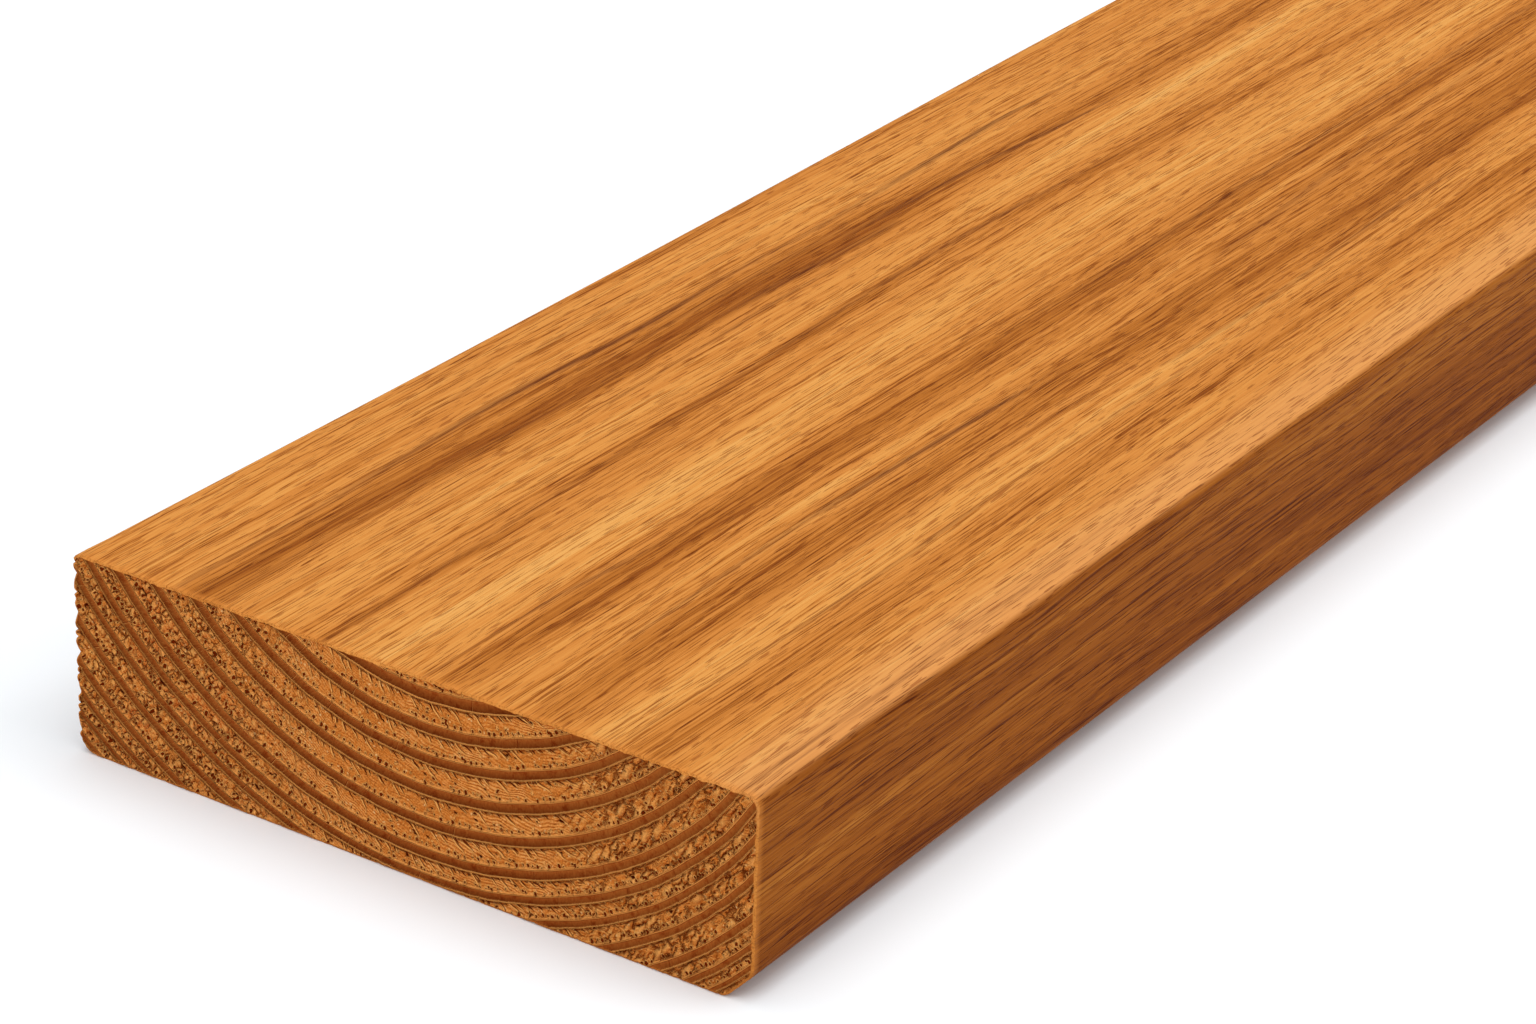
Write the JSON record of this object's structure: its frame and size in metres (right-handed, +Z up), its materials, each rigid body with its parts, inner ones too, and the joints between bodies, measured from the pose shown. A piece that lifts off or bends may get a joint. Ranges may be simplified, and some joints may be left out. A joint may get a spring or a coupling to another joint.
{
  "type": "teak plank",
  "caption": "Solid planed teak plank with eased long edges and square sawn ends, for decking, benches, shelves and joinery.",
  "frame": {"origin": "on the floor, at the middle of the plank's bottom face", "axes": "+X along the length and the grain, +Y across the width towards the back edge, +Z up through the thickness"},
  "size_m": [1.2, 0.14, 0.038],
  "materials": {
    "teak": "planed and sanded, thinly oiled, soft satin; sawn end grain is dull and rough"
  },
  "bodies": {
    "root": {"plank": "teak"}
  },
  "joints": []
}
